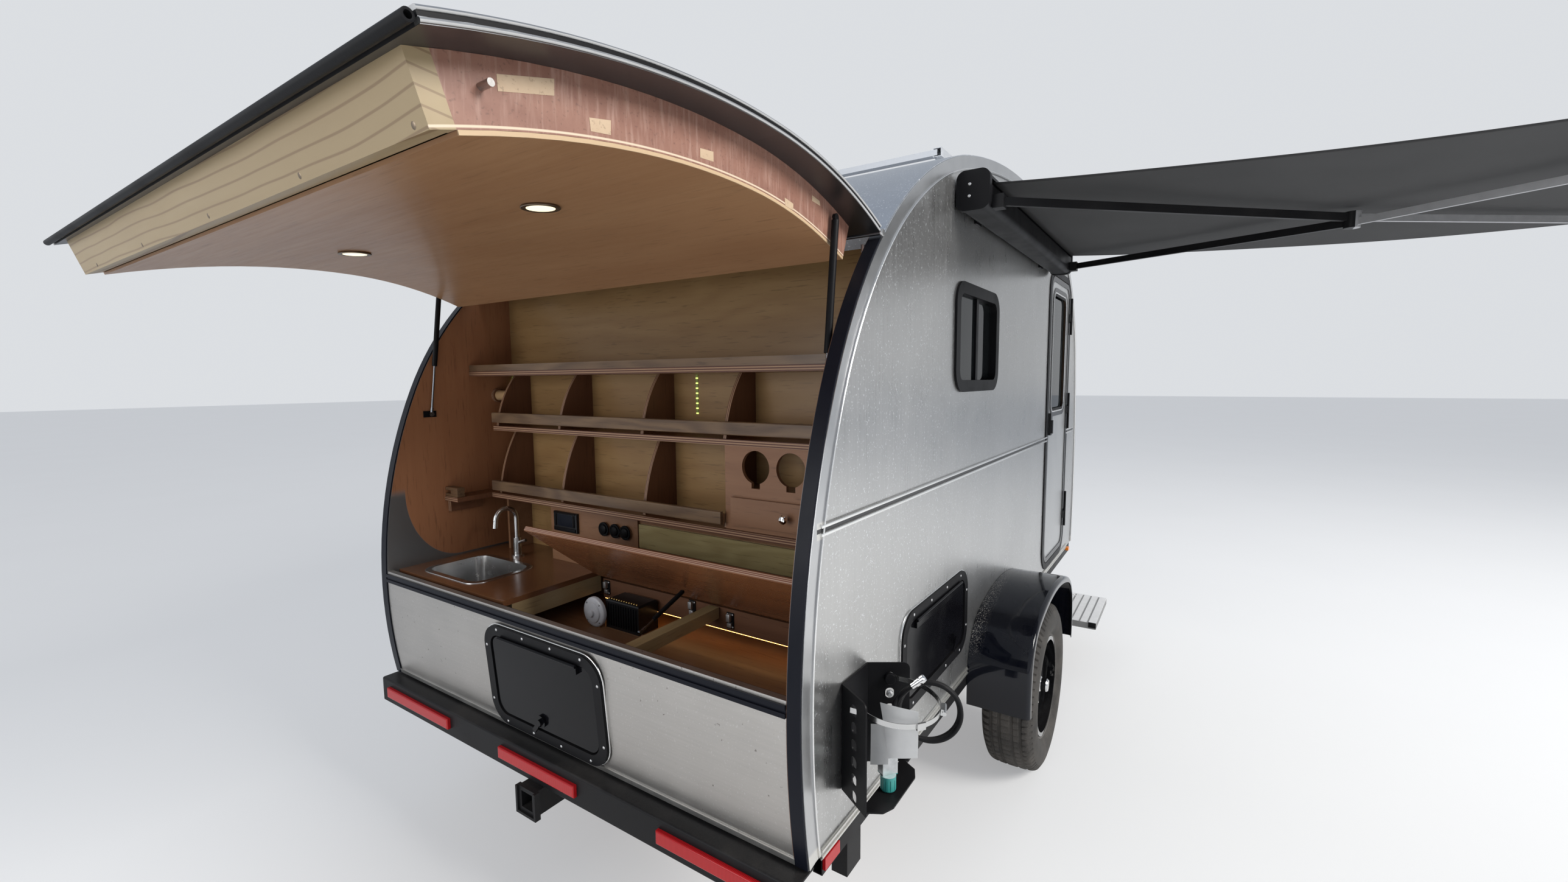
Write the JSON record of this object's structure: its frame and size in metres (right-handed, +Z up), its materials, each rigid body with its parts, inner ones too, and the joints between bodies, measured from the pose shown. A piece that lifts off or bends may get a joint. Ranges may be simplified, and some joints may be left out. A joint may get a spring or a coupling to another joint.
{
  "type": "teardrop trailer",
  "caption": "Teardrop camping trailer with a raised galley hatch, wooden kitchen shelves, doors, stowed tongue jack and an open side awning.",
  "frame": {"origin": "on the ground, under the centre of the whole trailer's bounding box", "axes": "+X forward to the coupler, +Y to the left side, +Z up"},
  "size_m": [5.3622, 4.203, 2.631],
  "materials": {
    "awning_black": "satin powder coat",
    "awning_cloth": "woven",
    "birch": "varnished birch ply",
    "black_door": "gloss",
    "black_frame": "semi gloss",
    "black_gloss": "gloss",
    "black_trim": "satin bulb seal",
    "bracket_black": "textured powder coat",
    "bright_trim": "satin moulding",
    "chassis_black": "semi gloss powder coat",
    "counter_wood": "varnished",
    "door_leaf": "brushed sheet with a black border",
    "floor_wood": "varnished ply",
    "hatch_black": "satin skin with a black edge",
    "hose_rubber": "matte",
    "liner_ply": "varnished",
    "mahogany_ply": "varnished",
    "rack_aluminium": "satin",
    "rear_skin": "brushed sheet",
    "red_lens": "clear red",
    "roof_skin": "mill sheet",
    "stainless": "satin",
    "step_aluminium": "satin",
    "strut_black": "satin",
    "strut_rod": "polished",
    "tinted_glass": "dark tint",
    "tyre": "dusty",
    "wall_skin": "brushed sheet",
    "walnut": "varnished",
    "wheel_black": "gloss",
    "zinc": "zinc plate"
  },
  "bodies": {
    "trailer": {"side_wall_right": "wall_skin", "fender_right": "black_gloss", "side_wall_left": "wall_skin", "fender_left": "black_gloss", "door_steps": "step_aluminium", "side_sills": "chassis_black", "roof_shell": "roof_skin", "cabin_floor": "floor_wood", "bulkhead": "birch", "rear_panel": "rear_skin", "hatch_seal": "black_trim", "body_trims": "bright_trim", "opening_frames": "black_frame", "window_panes": "tinted_glass", "galley_shelves": "birch", "fiddle_rails": "walnut", "galley_cabinet": "mahogany_ply", "galley_back": "birch", "counter": "counter_wood", "galley_well": "counter_wood", "sink": "stainless", "strut_brackets": "black_frame", "axle": "chassis_black", "chassis": "chassis_black", "coupler": "zinc", "jack_tube": "zinc", "bumper": "chassis_black", "tail_lamps": "red_lens", "awning_case": "awning_black", "awning_arms": "awning_black", "awning_fabric": "awning_cloth", "roof_rack": "rack_aluminium", "gas_bracket": "bracket_black", "gas_strap": "stainless", "gas_regulator": "zinc", "gas_hose_coil": "hose_rubber", "gas_hose": "hose_rubber"},
    "hatch": {"hatch_skin": "hatch_black", "hatch_frame": "mahogany_ply", "hatch_liner": "liner_ply"},
    "drawer": {"drawer": "mahogany_ply"},
    "counter_lid": {"counter_lid": "counter_wood"},
    "lid_strut_tube": {"lid_strut_tube": "strut_black"},
    "lid_strut_rod": {"lid_strut_rod": "strut_rod"},
    "side_access_door": {"access_door_side": "black_door"},
    "rear_access_door": {"access_door_rear": "black_door"},
    "jack_leg": {"jack_leg": "zinc"},
    "hatch_strut_tube_right": {"hatch_strut_tube_right": "strut_black"},
    "hatch_strut_rod_right": {"hatch_strut_rod_right": "strut_rod"},
    "entry_door_right": {"entry_door_right": "door_leaf", "door_glass_right": "tinted_glass"},
    "wheel_right": {"wheel_right": "wheel_black", "tyre_right": "tyre"},
    "hatch_strut_tube_left": {"hatch_strut_tube_left": "strut_black"},
    "hatch_strut_rod_left": {"hatch_strut_rod_left": "strut_rod"},
    "entry_door_left": {"entry_door_left": "door_leaf", "door_glass_left": "tinted_glass"},
    "wheel_left": {"wheel_left": "wheel_black", "tyre_left": "tyre"}
  },
  "joints": [
    {"name": "hatch_hinge", "type": "hinge", "parent": "trailer", "child": "hatch", "pos_m": [-1.56635, 0.9165, 1.99091], "axis": [0, 1, 0], "range_deg": [-69.3, 0]},
    {"name": "counter_lid_hinge", "type": "hinge", "parent": "trailer", "child": "counter_lid", "pos_m": [-1.52991, 0.9165, 0.935], "axis": [0, 1, 0], "range_deg": [-38, 0]},
    {"name": "drawer_slide", "type": "slide", "parent": "trailer", "child": "drawer", "axis": [-1, 0, 0], "range_m": [0, 0.11]},
    {"name": "side_access_hinge", "type": "hinge", "parent": "trailer", "child": "side_access_door", "pos_m": [-1.11341, -0.012, 0.917], "axis": [-1, 0, 0], "range_deg": [0, 80]},
    {"name": "jack_slide", "type": "slide", "parent": "trailer", "child": "jack_leg", "axis": [0, 0, 1], "range_m": [0, 0.27]},
    {"name": "rear_access_hinge", "type": "hinge", "parent": "trailer", "child": "rear_access_door", "pos_m": [-1.97478, 0.9165, 0.85], "axis": [0, 1, 0], "range_deg": [0, 80]},
    {"name": "hatch_strut_right_pivot", "type": "hinge", "parent": "hatch", "child": "hatch_strut_tube_right", "pos_m": [-1.70691, 0.0545, 2.006], "axis": [0, 1, 0], "range_deg": [0, 83.41]},
    {"name": "hatch_strut_right_stroke", "type": "slide", "parent": "hatch_strut_tube_right", "child": "hatch_strut_rod_right", "axis": [0.1194, 0, 0.9928], "range_m": [0, 0.11969]},
    {"name": "entry_door_right_hinge", "type": "hinge", "parent": "trailer", "child": "entry_door_right", "pos_m": [1.14309, -0.012, 0.537], "axis": [0, 0, 1], "range_deg": [0, 100]},
    {"name": "wheel_right_spin", "type": "hinge", "parent": "trailer", "child": "wheel_right", "pos_m": [-0.32091, -0.1135, 0.342], "axis": [0, 1, 0], "continuous": true},
    {"name": "hatch_strut_left_pivot", "type": "hinge", "parent": "hatch", "child": "hatch_strut_tube_left", "pos_m": [-1.70691, 1.7785, 2.006], "axis": [0, 1, 0], "range_deg": [0, 83.41]},
    {"name": "hatch_strut_left_stroke", "type": "slide", "parent": "hatch_strut_tube_left", "child": "hatch_strut_rod_left", "axis": [0.1194, 0, 0.9928], "range_m": [0, 0.11969]},
    {"name": "entry_door_left_hinge", "type": "hinge", "parent": "trailer", "child": "entry_door_left", "pos_m": [1.14309, 1.845, 0.537], "axis": [0, 0, -1], "range_deg": [0, 100]},
    {"name": "wheel_left_spin", "type": "hinge", "parent": "trailer", "child": "wheel_left", "pos_m": [-0.32091, 1.9465, 0.342], "axis": [0, 1, 0], "continuous": true},
    {"name": "lid_strut_pivot", "type": "hinge", "parent": "counter_lid", "child": "lid_strut_tube", "pos_m": [-1.63112, 0.6345, 0.976], "axis": [0, 1, 0], "range_deg": [0, 59.79]},
    {"name": "lid_strut_stroke", "type": "slide", "parent": "lid_strut_tube", "child": "lid_strut_rod", "axis": [0.937, 0, 0.3492], "range_m": [0, 0.01592]}
  ],
  "couplings": [
    {"joint": "hatch_strut_right_pivot", "follows": "hatch_hinge", "ratio": -1.2029},
    {"joint": "hatch_strut_right_stroke", "follows": "hatch_hinge", "m_per_rad": -0.098874},
    {"joint": "hatch_strut_left_pivot", "follows": "hatch_hinge", "ratio": -1.2029},
    {"joint": "hatch_strut_left_stroke", "follows": "hatch_hinge", "m_per_rad": -0.098874},
    {"joint": "lid_strut_pivot", "follows": "counter_lid_hinge", "ratio": -1.5721},
    {"joint": "lid_strut_stroke", "follows": "counter_lid_hinge", "m_per_rad": -0.023858}
  ]
}
